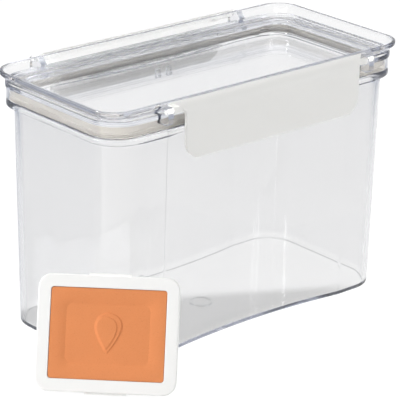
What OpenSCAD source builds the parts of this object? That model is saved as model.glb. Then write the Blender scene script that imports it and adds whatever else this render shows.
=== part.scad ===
// Pantry storage container: a clear tub with a stacking lid, a seal, two flip latches
// and a clay moisture tile in a clip-in holder that leans against the near corner.
// Millimetres. X runs along the long side, -Y is the front, Z is up from the foot.

/* [Tub] */
// Length of the tub at its foot
tub_l = 182.2; // [174:0.2:230]
// Width of the tub at its foot
tub_w = 86.6; // [80:0.2:120]
// Corner radius of the tub at its foot
tub_r = 17.6; // [14:0.2:22]
// Height from the foot to the top of the flange
tub_h = 118.5; // [80:0.5:180]
// How far each wall leans out between the foot and the flange
tub_lean = 2; // [1:0.1:4]
// Thickness of the walls
tub_wall = 2.3; // [1.8:0.1:3]
// Thickness of the floor
tub_floor = 2.2; // [2:0.1:4]
// Rounding of the foot's edge
foot_round = 1; // [0.5:0.5:4]
// Fillet between the floor and the walls inside
floor_fillet = 8; // [3:0.5:10]
// Diameter of the moulding ring on the floor
gate_d = 12; // [6:0.5:20]

/* [Bowed panels] */
// Depth of the inward bow in the middle of each long wall
bow_depth = 4.7; // [3.8:0.1:5.5]
// Length of the bowed panel
bow_l = 120; // [100:1:126]

/* [Flange] */
// Thickness of the flange round the mouth
flange_t = 3.5; // [2.5:0.1:5]
// Overhang of the flange at the short ends
flange_end = 2.9; // [2:0.1:5]
// Overhang of the flange along the long sides
flange_side = 0.7; // [0.5:0.1:1.6]
// Corner radius of the flange
flange_r = 16.4; // [15:0.2:20]
// Height of the sloped neck under the flange
neck_h = 3.2; // [2:0.1:5]

/* [Lid] */
// Height of the lid's rim above the flange
lid_h = 14.5; // [13:0.5:20]
// Overhang of the rim past the flange at the short ends
rim_end = 1.5; // [1:0.1:3]
// Overhang of the rim past the flange along the long sides
rim_side = 0.7; // [0.5:0.1:1.6]
// Corner radius of the rim
rim_r = 13; // [11:0.1:15]
// Height of the flared stacking wall above the ledge
rim_rise = 5.5; // [5:0.1:7]
// Thickness of the rim's lip
lip_t = 1.6; // [1.2:0.1:2]
// Height of the rim's lip
lip_h = 2.2; // [1.6:0.1:2.4]
// Distance from the lip's outside to the foot of the flare's inner face
flare_foot = 5.8; // [5.2:0.1:6.6]
// Thickness of the ledge
plate_t = 2.6; // [2:0.1:3.2]
// Thickness of the outer skirt
skirt_t = 1.2; // [1:0.1:1.6]
// Depth of the stacking recess under the rim
recess_d = 14.5; // [12:0.5:16]
// Corner radius of the stacking recess
recess_r = 8.2; // [6:0.2:11]
// Thickness of the recessed panel
panel_t = 2; // [1.6:0.1:3]

/* [Seal] */
// Width of the seal's head
seal_w = 2.2; // [1.8:0.1:2.6]
// Height of the seal's head
seal_h = 2.8; // [2:0.1:3.6]

/* [Latches] */
// Length of each latch between its ears
latch_l = 127.6; // [120:0.2:130]
// Length of the latch's front face
latch_face_l = 114; // [106:0.5:117]
// Reach of the latch's front face past the rim
latch_reach = 7.8; // [7.2:0.1:9]
// Thickness of the latch
latch_t = 1.8; // [1.4:0.1:2.2]
// How far the latch hangs below the flange
latch_drop = 10.5; // [7:0.5:14]
// Radius of the latch's bottom corners
latch_corner = 9; // [4:0.5:12]
// Length of the hook under the flange
hook_l = 76; // [50:1:80]
// How far the hook bites under the flange
hook_bite = 1.7; // [1:0.1:2]
// Thickness of the hook
hook_t = 2.2; // [1.6:0.1:3]
// Radius of the hinge pins
pin_r = 1.2; // [1:0.05:1.4]
// Thickness of the lid's ears
ear_t = 3.4; // [2.5:0.1:4.5]

/* [Moisture tile and its holder] */
// Width of the holder's front
frame_w = 67.4; // [60:0.2:80]
// Height of the holder's front
frame_h = 55.6; // [50:0.2:62]
// Corner radius of the holder's front
frame_r = 6.5; // [4:0.5:8]
// Thickness of the holder's front
frame_t = 3; // [2.4:0.1:4]
// Width of the border round the clay
frame_border = 6.1; // [5:0.1:8]
// Thickness of the clay tile
tile_t = 8.5; // [6:0.1:11]
// Width of the snap tabs
tab_w = 20; // [10:1:30]
// Width of the droplet on the clay
drop_w = 13.5; // [8:0.5:18]
// Length of the droplet on the clay
drop_l = 20; // [12:0.5:24]
// Lean of the holder against the corner, in degrees
holder_lean = 25.4; // [15:0.1:26]

/* [Hidden] */
$fn = 96;

// Clearances, how far a cut runs past a face, and how far a block's middle laps its edge
fit_gap = 0.1;
pin_gap = 0.05;
skirt_gap = 0.4;
rib_gap = 0.7;
plug_gap = 0.7;
ear_gap = 0.6;
hook_gap = 0.3;
pin_end_gap = 0.3;
lean_gap = 0.3;
clip_gap = 0.3;
past = 1;
lap = 0.5;

// Tub heights and the lean of its walls
flange_z = tub_h - flange_t;
lean_angle = atan(tub_lean / flange_z);
bow_rad = (bow_l * bow_l / 4 + bow_depth * bow_depth) / (2 * bow_depth);
flange_l = tub_l + 2 * (tub_lean + flange_end);
flange_w = tub_w + 2 * (tub_lean + flange_side);
edge_break = 0.5;
gate_x = -4.5;
gate_y = -6;
gate_wall = 0.8;
gate_h = 0.4;

// Lid heights, insets of its rim from the lip and of its skirt and seal from the flange's edge
lid_l = flange_l + 2 * rim_end;
lid_w = flange_w + 2 * rim_side;
rim_z = tub_h + lid_h;
plate_top = rim_z - rim_rise;
plate_bot = plate_top - plate_t;
panel_top = rim_z - recess_d;
panel_bot = panel_top - panel_t;
plate_in = -0.4;
skirt_in = 0.2;
flare_t = 2.2;
rib_t = 1;
plug_t = 1.8;
seal_in = skirt_in + skirt_t + fit_gap;
rib_in = seal_in + seal_w + fit_gap;
mouth_w = tub_w + 2 * (lean_at(tub_h) - bow_depth - tub_wall);
plug_l = lid_l - lid_w + mouth_w - 2 * plug_gap;
plug_w = mouth_w - 2 * plug_gap;
plug_r = recess_r + plug_t;
seal_stem = 1;

// Latch section, measured outwards from the rim
latch_gap = 1.6;
bend_r = latch_reach - latch_gap;
bend_z = rim_z - bend_r;
pivot_in = 3.1;
pivot_drop = 3.2;
pivot_out = latch_reach - pivot_in;
pivot_z = rim_z - pivot_drop;
flap_z = flange_z - latch_drop;
hook_z = flange_z - hook_gap;
hook_in = rim_side + hook_bite;
hook_lead = 1;
web_t = 1.6;
web_pitch = 17;
web_out = 0.4;
web_h = 5;
knuckle_r = 1.7;
knuckle_l = 12;
latch_edge = 0.4;
bend_step = 15;
ear_x = latch_l / 2 + ear_gap;
ear_nose = 2.2;
ear_drop = 1.5;

// Holder, in its own frame: X across, Y up its front, Z out of its front
window_w = frame_w - 2 * frame_border;
window_h = frame_h - 2 * frame_border;
window_r = 1.5;
lip_in = 1;
front_lip = 1.5;
tray_wall = 1.6;
back_t = 1.9;
tile_w = window_w + 2 * lip_in;
tile_h = window_h + 2 * lip_in;
tray_w = tile_w + 2 * (fit_gap + tray_wall);
tray_h = tile_h + 2 * (fit_gap + tray_wall);
holder_d = front_lip + tile_t + back_t + 2 * fit_gap;
tab_h = 1;
tab_t = 1.6;
frame_round = 0.8;
face_gap = 0.25;
face_drop = 0.3;
dish_in = 4.6;
dish_r = 9;
dish_slope = 5;
dish_d = 0.9;
drop_rise = 0.8;
drop_pinch = 1.3;
slot_w = 3;
slot_pitch = 9;
slot_margin = 8;

// Place of the holder: its bottom tab stands on the floor and its back's top edge leans on the corner
holder_yaw = -44.7;
holder_shift = -2;
tray_top = (frame_h + tray_h) / 2;
stand_z = tab_h * cos(holder_lean) + frame_t * sin(holder_lean);
touch_z = stand_z + tray_top * cos(holder_lean) - holder_d * sin(holder_lean);
touch_out = tub_r + lean_at(touch_z) + lean_gap;
stand_out = touch_out + tray_top * sin(holder_lean) + holder_d * cos(holder_lean);
corner_x = -(tub_l / 2 - tub_r);
corner_y = -(tub_w / 2 - tub_r);

// Clips under the lid that take the holder's tabs
clip_y = frame_h / 2 + tab_h + clip_gap;
clip_t = 1.8;
clip_w = 2.2;
clip_x = 3.6;
clip_nose = 1.1;
clip_hold = 0.5;
clip_h = frame_t + clip_hold + clip_nose;

// How far a wall has leaned out at height z
function lean_at(z) = tub_lean * z / flange_z;

// Quarter round from a flat floor at height z into a wall, as insets and heights
function foot_arc(radius, inset, z) = [
    for (t = [0:22.5:90])
        let (up = z + radius * (1 - cos(t)))
        [inset + radius * (1 - sin(t)) - lean_at(up), up]
];

// Teardrop outline: a circle pinched to a point at its lower end, brought to the width w
function drop_outline(w, l) =
    let (
        peak = (drop_pinch + 1) / (drop_pinch + 2),
        widest = 2 * pow(peak, (drop_pinch + 1) / 2) * sqrt(1 - peak)
    )
    [
        for (t = [0:6:354])
            [w / 2 * sin(t) * pow(sin(t / 2), drop_pinch) / widest, -l / 2 * cos(t)]
    ];

// A length kept to a thousandth, so that corners, straights and middles meet exactly
function thousandth(length) = round(1000 * length) / 1000;

// Carries a section of [inset, height] points round a rounded rectangle
module ring(l, w, r, points) {
    x = thousandth(l / 2 - r);
    y = thousandth(w / 2 - r);
    section = [for (p = points) [r - thousandth(p[0]), p[1]]];
    for (sx = [0, 1], sy = [0, 1])
        mirror([sx, 0, 0]) mirror([0, sy, 0])
            translate([x, y, 0]) rotate_extrude(angle = 90) polygon(section);
    for (sy = [0, 1])
        mirror([0, sy, 0]) rotate([90, 0, 90])
            linear_extrude(2 * x, center = true) polygon([for (p = section) [y + p[0], p[1]]]);
    for (sx = [0, 1])
        mirror([sx, 0, 0]) rotate([90, 0, 0])
            linear_extrude(2 * y, center = true) polygon([for (p = section) [x + p[0], p[1]]]);
}

// Solid rounded block whose outside follows an edge of [inset, height] points
module block(l, w, r, edge) {
    x = thousandth(l / 2 - r);
    y = thousandth(w / 2 - r);
    low = edge[0][1];
    high = edge[len(edge) - 1][1];
    ring(l, w, r, concat(edge, [[r, high], [r, low]]));
    translate([-x - lap, -y - lap, low]) cube([2 * (x + lap), 2 * (y + lap), high - low]);
}

// Large cylinders that bow both long walls inwards and follow their lean
module bow_cut(grow) {
    for (side = [0, 180])
        rotate([0, 0, side])
            translate([0, bow_depth - bow_rad - tub_w / 2, 0])
                rotate([lean_angle, 0, 0])
                    translate([0, 0, -tub_h])
                        cylinder(h = 3 * tub_h, r = bow_rad + grow, $fn = 720);
}

// Extrudes a section of [distance past the rim, height] along X on the rear side
module rear_extrude(l) {
    translate([0, lid_w / 2, 0]) rotate([90, 0, 90]) linear_extrude(l, center = true) children();
}

module tub() {
    wall_edge = concat(
        foot_arc(foot_round, 0, 0),
        [[-lean_at(flange_z - neck_h), flange_z - neck_h], [-tub_lean - flange_side, flange_z]]
    );
    flange_edge = [
        [edge_break, flange_z], [0, flange_z + edge_break],
        [0, tub_h - edge_break], [edge_break, tub_h]
    ];
    cavity_edge = concat(
        foot_arc(floor_fillet, tub_wall, tub_floor),
        [[tub_wall - lean_at(tub_h + past), tub_h + past]]
    );
    color("lightsteelblue", 0.5) {
        difference() {
            union() {
                difference() {
                    block(tub_l, tub_w, tub_r, wall_edge);
                    bow_cut(0);
                }
                block(flange_l, flange_w, flange_r, flange_edge);
            }
            difference() {
                block(tub_l, tub_w, tub_r, cavity_edge);
                bow_cut(tub_wall);
            }
        }
        translate([gate_x, gate_y, tub_floor]) difference() {
            cylinder(h = gate_h, d = gate_d);
            translate([0, 0, -past]) cylinder(h = gate_h + 2 * past, d = gate_d - 2 * gate_wall);
        }
    }
}

// Side view of an ear: its root lies inside the rim's wall, the ledge and the skirt
module ear_outline() {
    ear_z = plate_bot - ear_drop;
    skirt_mid = -rim_side - skirt_in - skirt_t / 2;
    flare_mid = flare_t / 2 - flare_foot;
    polygon(concat(
        [[-lip_t / 2, pivot_z + ear_nose]],
        [for (t = [90:-15:0]) [pivot_out + ear_nose * cos(t), pivot_z + ear_nose * sin(t)]],
        [for (t = [0:-15:-90])
            [pivot_out + ear_nose * cos(t), ear_z + ear_nose * (1 + sin(t))]],
        [
            [skirt_mid, ear_z], [skirt_mid, plate_bot + plate_t / 2],
            [flare_mid, plate_bot + plate_t / 2], [flare_mid, plate_top], [-lip_t / 2, rim_z - lip_h]
        ]
    ));
}

// Pair of snap hooks under the panel, on the rear side
module lid_clip() {
    for (sx = [-1, 1])
        translate([sx * clip_x, clip_y, panel_bot]) rotate([90, 0, 90])
            linear_extrude(clip_w, center = true)
                polygon([
                    [0, 0], [clip_t, 0], [clip_t, -clip_h], [0, -clip_h],
                    [-clip_nose, clip_nose - clip_h], [0, 2 * clip_nose - clip_h]
                ]);
}

module lid() {
    flare = [
        [0, rim_z], [lip_t, rim_z], [flare_foot, plate_top],
        [flare_foot - flare_t, plate_top], [0, rim_z - lip_h]
    ];
    skirt = [
        [skirt_in, tub_h + skirt_gap], [skirt_in, plate_bot],
        [skirt_in + skirt_t, plate_bot], [skirt_in + skirt_t, tub_h + skirt_gap]
    ];
    rib = [
        [rib_in, tub_h + rib_gap], [rib_in, plate_bot],
        [rib_in + rib_t, plate_bot], [rib_in + rib_t, tub_h + rib_gap]
    ];
    color("lightsteelblue", 0.5) difference() {
        union() {
            ring(lid_l, lid_w, rim_r, flare);
            block(flange_l, flange_w, flange_r, [[plate_in, plate_bot], [plate_in, plate_top]]);
            ring(flange_l, flange_w, flange_r, skirt);
            ring(flange_l, flange_w, flange_r, rib);
            block(plug_l, plug_w, plug_r, [[0, panel_bot], [0, plate_bot]]);
            for (sx = [0, 1], sy = [0, 1])
                mirror([sx, 0, 0]) mirror([0, sy, 0])
                    translate([ear_x + ear_t / 2, 0, 0]) rear_extrude(ear_t) ear_outline();
            for (side = [0, 180])
                rotate([0, 0, side]) lid_clip();
        }
        block(plug_l, plug_w, plug_r, [[plug_t, panel_top], [plug_t, rim_z + past]]);
        for (sx = [0, 1], sy = [0, 1])
            mirror([sx, 0, 0]) mirror([0, sy, 0])
                translate([ear_x - past, lid_w / 2 + pivot_out, pivot_z])
                    rotate([0, 90, 0]) cylinder(h = ear_t + 2 * past, r = pin_r + pin_gap);
    }
}

module lid_seal() {
    head_top = tub_h + fit_gap + seal_h;
    stem_in = seal_in + (seal_w - seal_stem) / 2;
    color("gainsboro") ring(flange_l, flange_w, flange_r, [
        [seal_in, tub_h + fit_gap], [seal_in + seal_w, tub_h + fit_gap],
        [seal_in + seal_w, head_top], [stem_in + seal_stem, head_top],
        [stem_in + seal_stem, plate_bot - fit_gap], [stem_in, plate_bot - fit_gap],
        [stem_in, head_top], [seal_in, head_top]
    ]);
}

// Side view of a latch's shell: a round bend at the top, then the flat flap
module latch_section() {
    inner_r = bend_r - latch_t;
    polygon(concat(
        [[latch_gap, rim_z - latch_edge], [latch_gap + latch_edge, rim_z]],
        [for (t = [90 - bend_step:-bend_step:0])
            [latch_gap + bend_r * cos(t), bend_z + bend_r * sin(t)]],
        [[latch_reach, flap_z], [latch_reach - latch_t, flap_z]],
        [for (t = [0:bend_step:90])
            [latch_gap + inner_r * cos(t), bend_z + inner_r * sin(t)]]
    ));
}

// Latch on the rear side, shut
module latch() {
    half = latch_l / 2;
    face = latch_face_l / 2;
    turn = face - latch_corner;
    root = latch_reach - latch_t / 2;
    intersection() {
        rear_extrude(latch_l) latch_section();
        translate([0, lid_w / 2, flap_z - past]) linear_extrude(rim_z - flap_z + 2 * past)
            polygon([
                [-half, 0], [-half, latch_gap], [-face, latch_reach], [-face, latch_reach + past],
                [face, latch_reach + past], [face, latch_reach], [half, latch_gap], [half, 0]
            ]);
        translate([0, lid_w / 2 + latch_reach + past, 0]) rotate([90, 0, 0])
            linear_extrude(latch_reach + 2 * past)
                polygon(concat(
                    [[half, rim_z + past], [-half, rim_z + past], [-half, flap_z + latch_corner]],
                    [for (t = [180:15:270])
                        [latch_corner * cos(t) - turn, flap_z + latch_corner * (1 + sin(t))]],
                    [for (t = [270:15:360])
                        [latch_corner * cos(t) + turn, flap_z + latch_corner * (1 + sin(t))]],
                    [[half, flap_z + latch_corner]]
                ));
    }
    rear_extrude(hook_l) polygon([
        [root, hook_z], [-hook_in, hook_z], [-hook_in, hook_z - hook_lead],
        [hook_lead - hook_in, hook_z - hook_t], [root, hook_z - hook_t]
    ]);
    for (i = [-2:2])
        translate([i * web_pitch, 0, 0]) rear_extrude(web_t) polygon([
            [root, hook_z - hook_t / 2], [web_out, hook_z - hook_t / 2],
            [web_out, hook_z + web_h], [root, plate_bot]
        ]);
    for (sx = [0, 1])
        mirror([sx, 0, 0]) translate([half - knuckle_l, lid_w / 2 + pivot_out, pivot_z])
            rotate([0, 90, 0]) {
                cylinder(h = knuckle_l, r = knuckle_r);
                cylinder(h = knuckle_l + ear_gap + ear_t - pin_end_gap, r = pin_r);
            }
}

module front_latch() {
    color("whitesmoke") rotate([0, 0, 180]) latch();
}

module rear_latch() {
    color("whitesmoke") latch();
}

// Moves the holder's own frame to where it leans against the near corner
module lean_on_corner() {
    translate([corner_x, corner_y, stand_z]) rotate([0, 0, holder_yaw])
        translate([holder_shift, -stand_out, 0]) rotate([90 - holder_lean, 0, 0])
            translate([0, frame_h / 2, 0]) children();
}

module tile_frame() {
    front_edge = [
        [0, -frame_t], [0, -frame_round],
        [frame_round * (1 - cos(45)), -frame_round * (1 - sin(45))], [frame_round, 0]
    ];
    tray_r = window_r + lip_in + fit_gap + tray_wall;
    pocket_r = tray_r - tray_wall;
    color("white") lean_on_corner() difference() {
        union() {
            block(frame_w, frame_h, frame_r, front_edge);
            block(tray_w, tray_h, tray_r, [[0, -holder_d], [0, -frame_t]]);
            for (side = [0, 180])
                rotate([0, 0, side])
                    translate([-tab_w / 2, frame_h / 2 - past, -frame_t])
                        cube([tab_w, tab_h + past, tab_t]);
        }
        block(window_w, window_h, window_r, [[0, -frame_t], [0, past]]);
        block(
            tray_w - 2 * tray_wall, tray_h - 2 * tray_wall, pocket_r,
            [[0, -holder_d - past], [0, -front_lip]]
        );
    }
}

module clay_tile() {
    shoulder = -front_lip - fit_gap;
    face = -face_drop;
    tile_r = window_r + lip_in;
    color([0.886, 0.561, 0.361]) lean_on_corner() {
        difference() {
            union() {
                block(tile_w, tile_h, tile_r, [[0, shoulder - tile_t], [0, shoulder]]);
                block(window_w, window_h, window_r, [[face_gap, shoulder - past], [face_gap, face]]);
            }
            block(
                tile_w - 2 * dish_in, tile_h - 2 * dish_in, dish_r,
                [[dish_slope, face - dish_d], [0, face], [0, face + past]]
            );
        }
        translate([0, 0, face - dish_d]) linear_extrude(drop_rise) polygon(drop_outline(drop_w, drop_l));
    }
}

module tile_back() {
    low = -holder_d;
    slots = floor((tile_w / 2 - slot_margin) / slot_pitch);
    color("white") lean_on_corner() difference() {
        block(tile_w, tile_h, window_r + lip_in, [[0, low], [0, low + back_t]]);
        for (i = [-slots:slots])
            translate([i * slot_pitch - slot_w / 2, slot_margin - tile_h / 2, low - past])
                cube([slot_w, tile_h - 2 * slot_margin, back_t + 2 * past]);
    }
}

tub();
lid();
lid_seal();
front_latch();
rear_latch();
tile_frame();
tile_back();
clay_tile();
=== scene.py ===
"""Pantry storage container: its dressed model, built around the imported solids.

Laid out as an add-on and run as a script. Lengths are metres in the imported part's own frame:
+Z up, +X along the long side, -Y towards the front latch.
"""

import math

import bpy
import numpy as np
from bpy.props import FloatProperty, FloatVectorProperty, PointerProperty
from bpy.types import Operator, Panel, PropertyGroup
from mathutils import Matrix, Vector


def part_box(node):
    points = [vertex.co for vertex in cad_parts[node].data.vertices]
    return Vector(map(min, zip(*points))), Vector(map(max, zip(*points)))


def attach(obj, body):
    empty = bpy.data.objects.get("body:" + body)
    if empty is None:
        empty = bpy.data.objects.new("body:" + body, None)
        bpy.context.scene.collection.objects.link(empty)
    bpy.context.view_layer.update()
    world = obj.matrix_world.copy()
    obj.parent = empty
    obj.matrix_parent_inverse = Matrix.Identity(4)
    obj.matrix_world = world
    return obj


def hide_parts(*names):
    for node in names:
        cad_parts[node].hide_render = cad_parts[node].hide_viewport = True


bl_info = {
    "name": "Pantry storage container",
    "version": (1, 0, 0),
    "blender": (4, 5, 0),
    "location": "3D View > Sidebar > Keeper",
    "description": "Clear keeper with flip latches and a moisture tile, built around its packed solids",
    "category": "Add Mesh",
}

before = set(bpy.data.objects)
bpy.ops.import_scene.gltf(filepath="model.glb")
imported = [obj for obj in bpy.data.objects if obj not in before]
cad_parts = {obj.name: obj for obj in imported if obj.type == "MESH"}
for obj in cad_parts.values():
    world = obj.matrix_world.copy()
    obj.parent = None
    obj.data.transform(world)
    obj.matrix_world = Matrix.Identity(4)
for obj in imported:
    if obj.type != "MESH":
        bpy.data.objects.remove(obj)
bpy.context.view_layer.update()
MM = 0.001

# Steps round a quarter corner, along a long side, along a short side, round a small edge and over the tile's
# face, the angle past which an edge is sharp, and the least radius of an outline's corners
CORNER_STEPS = 20
LONG_STEPS = 72
SHORT_STEPS = 12
EDGE_STEPS = 4
FACE_STEPS = (280, 220)
SHARP_ANGLE = math.radians(38)
LEAST_RADIUS = 0.2 * MM

# Where the bows end along a long side's straight part, from 0 to 1, and the finer steps round those places
BOW_ENDS = (0.0918, 0.9082)
FINE_HALF = np.array([0.0007, 0.0015, 0.003, 0.005, 0.008, 0.012])
FINE_STEPS = np.concatenate([-FINE_HALF[::-1], [0], FINE_HALF])

# Fits that pieces share: how far the hinge line lies behind the latch's face and under the rim, the ears' play
# and width, how far the tile laps under the frame's lip, its play there and the wall of its tray
HINGE_IN, HINGE_DOWN = 3.1 * MM, 3.2 * MM
EAR_PLAY, EAR_WIDTH = 0.6 * MM, 3.4 * MM
TILE_LAP, TILE_PLAY, TRAY_WALL = 1.0 * MM, 0.1 * MM, 1.6 * MM

WHITE = (1, 1, 1, 1)
BLACK = (0, 0, 0, 1)


def size(label, about, mm):
    """A length property, given in millimetres and kept in metres."""
    return FloatProperty(name=label, description=about, default=mm * MM, unit="LENGTH", precision=4)


def turn(label, about, degrees):
    """An angle property, given in degrees."""
    return FloatProperty(name=label, description=about, default=math.radians(degrees), subtype="ANGLE")


def share(label, about, value):
    """A share between 0 and 1."""
    return FloatProperty(name=label, description=about, default=value, min=0, max=1, subtype="FACTOR")


def tint(label, about, rgb):
    """A linear colour."""
    return FloatVectorProperty(
        name=label, description=about, default=rgb, size=3, min=0, max=1, subtype="COLOR"
    )


def plain(label, about, value):
    """A number without a unit of Blender's."""
    return FloatProperty(name=label, description=about, default=value)


class KeeperTub(PropertyGroup):
    """Sizes of the tub, and the looks of the clear plastic."""

    length: size("Length", "Length at the foot", 182.2)
    width: size("Width", "Width at the foot", 86.6)
    radius: size("Corner radius", "Radius of the corners at the foot", 17.6)
    lean: size("Lean", "How far each wall leans out below the flange", 2)
    wall: size("Wall", "Thickness of the walls", 2.3)
    floor: size("Floor", "Thickness of the floor", 1.4)
    foot: size("Foot rounding", "Rounding of the foot's edge", 1)
    fillet: size("Floor fillet", "Fillet between the floor and the walls", 0.4)
    bow: size("Bow", "Depth of the inward bow of the long walls", 4.7)
    bow_length: size("Bow length", "Length of the bowed panel", 120)
    bow_blend: size("Bow blend", "Softness of the bowed panel's edges", 0.06)
    bow_step: size("Bow step", "Height of the fine step at the bowed panel's edges", 0.05)
    neck: size("Neck", "Height of the sloped neck", 3.2)
    neck_out: size("Neck overhang", "Overhang of the neck's top", 0.7)
    flange_length: size("Flange length", "Length over the flange", 192)
    flange_width: size("Flange width", "Width over the flange", 92)
    flange_radius: size("Flange radius", "Corner radius of the flange", 16.4)
    flange: size("Flange", "Thickness of the flange", 3.5)
    edge: size("Edge", "Rounding of the flange's edges", 1.15)
    gate: size("Gate ring", "Diameter of the moulding ring on the floor", 12)
    tint: tint("Tint", "Colour of the clear plastic", (0.988, 0.986, 0.98))
    # Painted shade: a greyer colour for the tub's walls, standing in for the studio grey that shows in them
    wall_tint: tint("Wall tint", "Colour of the clear plastic in the tub's walls", (0.914, 0.912, 0.91))
    depth_tint: tint("Depth tint", "Colour that long ways through the plastic turn to", (0.16, 0.24, 0.46))
    depth: plain("Depth", "How fast the tub's plastic darkens, per metre", 10.0)
    clarity: share("Clarity", "Share of light that passes the tub's surface", 0.99)


class KeeperLid(PropertyGroup):
    """Sizes of the lid and the seal, and their looks."""

    length: size("Length", "Length over the rim", 195)
    width: size("Width", "Width over the rim", 93.4)
    radius: size("Corner radius", "Radius of the rim's corners", 13)
    rise: size("Rise", "Height of the flared wall", 5.5)
    lip: size("Lip", "Thickness of the rim's lip", 1.6)
    lip_height: size("Lip height", "Height of the rim's lip", 2.2)
    flare_foot: size("Flare foot", "Inset of the flare's inner foot", 5.8)
    flare: size("Flare", "Thickness of the flare", 2.2)
    ledge: size("Ledge", "Thickness of the ledge", 2.6)
    skirt: size("Skirt", "Thickness of the skirt", 1.2)
    plug_length: size("Plug length", "Length of the plug", 176.92)
    plug_width: size("Plug width", "Width of the plug", 75.32)
    plug_radius: size("Plug radius", "Corner radius of the plug", 10)
    plug_wall: size("Plug wall", "Thickness of the recess's wall", 1.8)
    recess: size("Recess", "Depth of the recess under the rim", 14.5)
    panel: size("Panel", "Thickness of the recessed panel", 2)
    edge: size("Edge", "Rounding of the lid's edges", 0.5)
    seal_width: size("Seal width", "Width of the seal's head", 2.2)
    seal_height: size("Seal height", "Height of the seal's head", 2.8)
    seal_colour: tint("Seal colour", "Colour of the silicone", (0.56, 0.53, 0.485))
    depth: plain("Depth", "How fast the lid's plastic darkens, per metre", 22.0)
    clarity: share("Clarity", "Share of light that passes the lid's surface", 0.995)


class KeeperLatch(PropertyGroup):
    """Sizes and colour of the two latches."""

    length: size("Length", "Length of the top edge, between the ears", 127.6)
    face: size("Face length", "Length of the front face", 114)
    reach: size("Reach", "Reach of the face past the rim", 7.8)
    gap: size("Gap", "Gap between the rim and the top edge", 1.6)
    thickness: size("Thickness", "Thickness of the shell", 1.8)
    corner: size("Corner", "Radius of the bottom corners", 9)
    hook: size("Hook length", "Length of the hook", 76)
    hook_bite: size("Hook bite", "How far the hook reaches in from the rim's edge", 2.4)
    hook_height: size("Hook height", "Thickness of the hook", 2.2)
    pin: size("Pin radius", "Radius of the hinge pins", 1.2)
    colour: tint("Colour", "Colour of the satin plastic", (0.9, 0.897, 0.875))
    gloss: share("Gloss", "Roughness of its glossiest patches", 0.38)


class KeeperHolder(PropertyGroup):
    """Sizes, place and colours of the tile holder and the clay tile."""

    width: size("Width", "Width of the front", 67.4)
    height: size("Height", "Height of the front", 55.6)
    radius: size("Radius", "Corner radius of the front", 6.5)
    thickness: size("Thickness", "Thickness of the front", 3)
    border: size("Border", "Width of the border", 6.1)
    depth: size("Depth", "Depth of the holder", 12.1)
    lip: size("Lip", "Thickness of the border's lip", 1.5)
    tile: size("Tile", "Thickness of the clay tile behind the lip", 8.5)
    tab: size("Tab", "How far the snap tabs stand out", 1)
    face_gap: size("Face gap", "Gap between the tile's face and the window", 0.25)
    face_drop: size("Face drop", "How far the tile's face lies below the front", 0.3)
    dish: size("Dish", "Depth of the tile's shallow dish", 0.9)
    drop_width: size("Droplet width", "Width of the raised droplet", 13.5)
    drop_length: size("Droplet length", "Length of the raised droplet", 20)
    drop_rise: size("Droplet rise", "Height of the raised droplet", 0.8)
    lean: turn("Lean", "Lean against the corner", 25.4)
    yaw: turn("Turn", "Turn about the upright axis", -44.7)
    shift: size("Shift", "Sideways shift at the corner", -2)
    colour: tint("Colour", "Colour of the white plastic", (0.9, 0.9, 0.885))
    gloss: share("Gloss", "Roughness of its glossiest patches", 0.42)
    clay: tint("Clay", "Colour of the unglazed clay", (0.73, 0.24, 0.077))


class KeeperStage(PropertyGroup):
    """Camera, floor and studio light."""

    lens: plain("Lens", "Focal length in millimetres", 203.1)
    azimuth: turn("Azimuth", "Direction of the camera round the keeper", -41.53)
    elevation: turn("Elevation", "Height of the camera over the floor", 21.15)
    roll: turn("Roll", "Roll of the camera", 1.17)
    distance: size("Distance", "Distance of the camera", 1175.33)
    across: size("Across", "Sideways aim of the camera", 1.3)
    above: size("Above", "Upward aim of the camera", 50.81)
    floor_colour: tint("Floor", "Colour of the pale floor", (0.86, 0.86, 0.86))
    floor_glow: share("Floor glow", "Share of plain white in the floor as it is seen", 0.86)
    sky: share("Sky", "Strength of the soft light from all round", 0.2)
    field: size("Field", "Half width of the white field that the clear parts show", 150)
    dim: tint("Dim", "Colour round the white field", (0.5, 0.53, 0.6))


SETTINGS = {
    "keeper_tub": KeeperTub,
    "keeper_lid": KeeperLid,
    "keeper_latch": KeeperLatch,
    "keeper_holder": KeeperHolder,
    "keeper_stage": KeeperStage,
}


# Surfaces


def outline_terms():
    """Terms of a rounded rectangle's outline, anticlockwise from the upper end of its right side.

    In a corner the signs stay and the angle turns by a quarter. Along a side the angle stays and the
    signs run from one corner's to the next one's. A point is then sign * (half - radius) + radius * (cos, sin).
    """
    corners = np.array([(1, 1), (-1, 1), (-1, -1), (1, -1)], float)
    signs, angles = [], []
    fine = [place + FINE_STEPS for place in BOW_ENDS]
    long_side = np.sort(np.concatenate([np.linspace(0, 1, LONG_STEPS + 1), *fine]))
    short_side = np.linspace(0, 1, SHORT_STEPS + 1)
    for k, side in enumerate((long_side, short_side, long_side, short_side)):
        quarter = np.linspace(0, np.pi / 2, CORNER_STEPS + 1) + k * np.pi / 2
        along = side[1:-1, None]
        here, there = corners[k], corners[(k + 1) % 4]
        signs += [np.tile(here, (len(quarter), 1)), here + along * (there - here)]
        angles += [quarter, np.full(len(along), quarter[-1])]
    angle = np.concatenate(angles)
    return np.concatenate(signs), np.stack([np.cos(angle), np.sin(angle)], 1)


SIGNS, TURNS = outline_terms()


def bow_depth(x, tub):
    """How far a long wall bows in at x: a circle's arc over the bow's length, its ends softened to nothing,
    and a fine step there that rises as a hyperbolic tangent."""
    half, ramp = tub.bow_length / 2, 0.12 * MM
    radius = (half**2 + tub.bow**2) / (2 * tub.bow)
    depth = tub.bow - radius + np.sqrt(np.maximum(radius**2 - x**2, 0))
    step = tub.bow_step * (1 + np.tanh((half - np.abs(x)) / ramp)) / 2
    return (depth + np.sqrt(depth**2 + tub.bow_blend**2)) / 2 + step


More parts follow.
